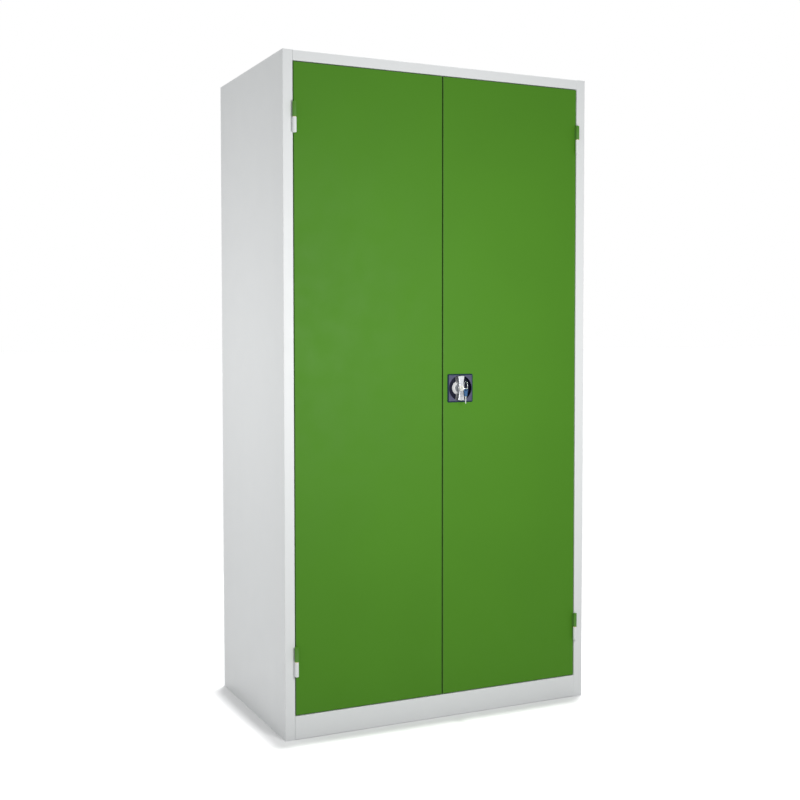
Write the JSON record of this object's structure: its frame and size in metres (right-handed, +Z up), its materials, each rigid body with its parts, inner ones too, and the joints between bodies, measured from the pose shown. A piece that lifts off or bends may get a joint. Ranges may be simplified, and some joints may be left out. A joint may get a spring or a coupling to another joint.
{
  "type": "tool cabinet with doors",
  "caption": "Tall sheet-steel tool cabinet with green hinged doors, a twist-grip lock with rods, slotted uprights and shelves inside.",
  "frame": {"origin": "on the floor at the centre of the footprint, which is also the centre of the four foot holes", "axes": "+X to the right as seen from the front, +Y from the doors to the back panel, +Z up"},
  "size_m": [1, 0.6497, 1.95],
  "materials": {
    "carcass_paint": "satin",
    "door_paint": "satin",
    "galvanised_steel": "matte",
    "bright_steel": "satin",
    "brass": "satin",
    "nickel_plate": "satin",
    "buffer_rubber": "matte",
    "lock_plastic": "matte",
    "grip_metal": "satin",
    "key_metal": "satin",
    "key_plastic": "gloss"
  },
  "bodies": {
    "carcass": {"left_side_panel": "carcass_paint", "right_side_panel": "carcass_paint", "top_panel": "carcass_paint", "base_panel": "carcass_paint", "rear_base_rail": "carcass_paint", "back_panel": "carcass_paint", "front_left_upright": "galvanised_steel", "front_right_upright": "galvanised_steel", "rear_left_upright": "galvanised_steel", "rear_right_upright": "galvanised_steel", "shelf_1": "galvanised_steel", "shelf_2": "galvanised_steel", "shelf_3": "galvanised_steel", "shelf_4": "galvanised_steel", "shelf_clips": "galvanised_steel", "left_body_knuckles": "carcass_paint", "right_body_knuckles": "carcass_paint", "hinge_pins": "bright_steel", "hinge_washers": "brass", "door_buffers": "buffer_rubber"},
    "left_door": {"left_door_panel": "door_paint", "left_door_stiffener": "door_paint", "left_door_knuckles": "door_paint", "bolt_guides": "galvanised_steel"},
    "upper_shoot_bolt": {"upper_shoot_bolt": "bright_steel"},
    "lower_shoot_bolt": {"lower_shoot_bolt": "bright_steel"},
    "right_door": {"right_door_panel": "door_paint", "right_door_stiffener": "door_paint", "right_door_knuckles": "door_paint", "lock_housing": "lock_plastic", "lock_clamp_frame": "lock_plastic", "lock_case": "galvanised_steel", "lock_screws": "bright_steel", "rod_guides": "galvanised_steel"},
    "handle": {"twist_grip": "grip_metal", "lock_cylinder": "nickel_plate", "spindle": "bright_steel", "pinion": "bright_steel", "latch_cam": "bright_steel", "cam_screw": "bright_steel"},
    "upper_rod": {"upper_rack": "bright_steel", "upper_rod": "bright_steel"},
    "lower_rod": {"lower_rack": "bright_steel", "lower_rod": "bright_steel"},
    "key": {"cylinder_plug": "nickel_plate", "inserted_key": "key_metal"},
    "key_ring": {"key_ring": "key_metal"},
    "spare_key": {"spare_key_head": "key_plastic", "spare_key_blade": "key_metal"}
  },
  "joints": [
    {"name": "left_door_hinge", "type": "hinge", "parent": "carcass", "child": "left_door", "pos_m": [-0.468, -0.308, 0.9945], "axis": [0, 0, -1], "range_deg": [0, 180]},
    {"name": "right_door_hinge", "type": "hinge", "parent": "carcass", "child": "right_door", "pos_m": [0.468, -0.308, 0.9945], "axis": [0, 0, 1], "range_deg": [0, 180]},
    {"name": "handle_turn", "type": "hinge", "parent": "right_door", "child": "handle", "pos_m": [0.0583, -0.3, 0.9945], "axis": [0, 1, 0], "range_deg": [0, 90]},
    {"name": "upper_rod_slide", "type": "slide", "parent": "right_door", "child": "upper_rod", "axis": [0, 0, 1], "range_m": [0, 0.0189]},
    {"name": "lower_rod_slide", "type": "slide", "parent": "right_door", "child": "lower_rod", "axis": [0, 0, -1], "range_m": [0, 0.0189]},
    {"name": "key_turn", "type": "hinge", "parent": "handle", "child": "key", "pos_m": [0.0583, -0.3, 0.9945], "axis": [0, 1, 0], "range_deg": [0, 90]},
    {"name": "key_ring_swing", "type": "hinge", "parent": "key", "child": "key_ring", "pos_m": [0.0583, -0.3282, 0.9945], "axis": [0, 0, 1], "range_deg": [-35, 35]},
    {"name": "spare_key_swing", "type": "hinge", "parent": "key_ring", "child": "spare_key", "pos_m": [0.0583, -0.33689, 0.9905], "axis": [0, 1, 0], "range_deg": [-40, 40]},
    {"name": "upper_bolt_slide", "type": "slide", "parent": "left_door", "child": "upper_shoot_bolt", "axis": [0, 0, 1], "range_m": [0, 0.015]},
    {"name": "lower_bolt_slide", "type": "slide", "parent": "left_door", "child": "lower_shoot_bolt", "axis": [0, 0, -1], "range_m": [0, 0.015]}
  ],
  "couplings": [
    {"joint": "upper_rod_slide", "follows": "handle_turn", "m_per_rad": 0.012},
    {"joint": "lower_rod_slide", "follows": "handle_turn", "m_per_rad": 0.012}
  ]
}
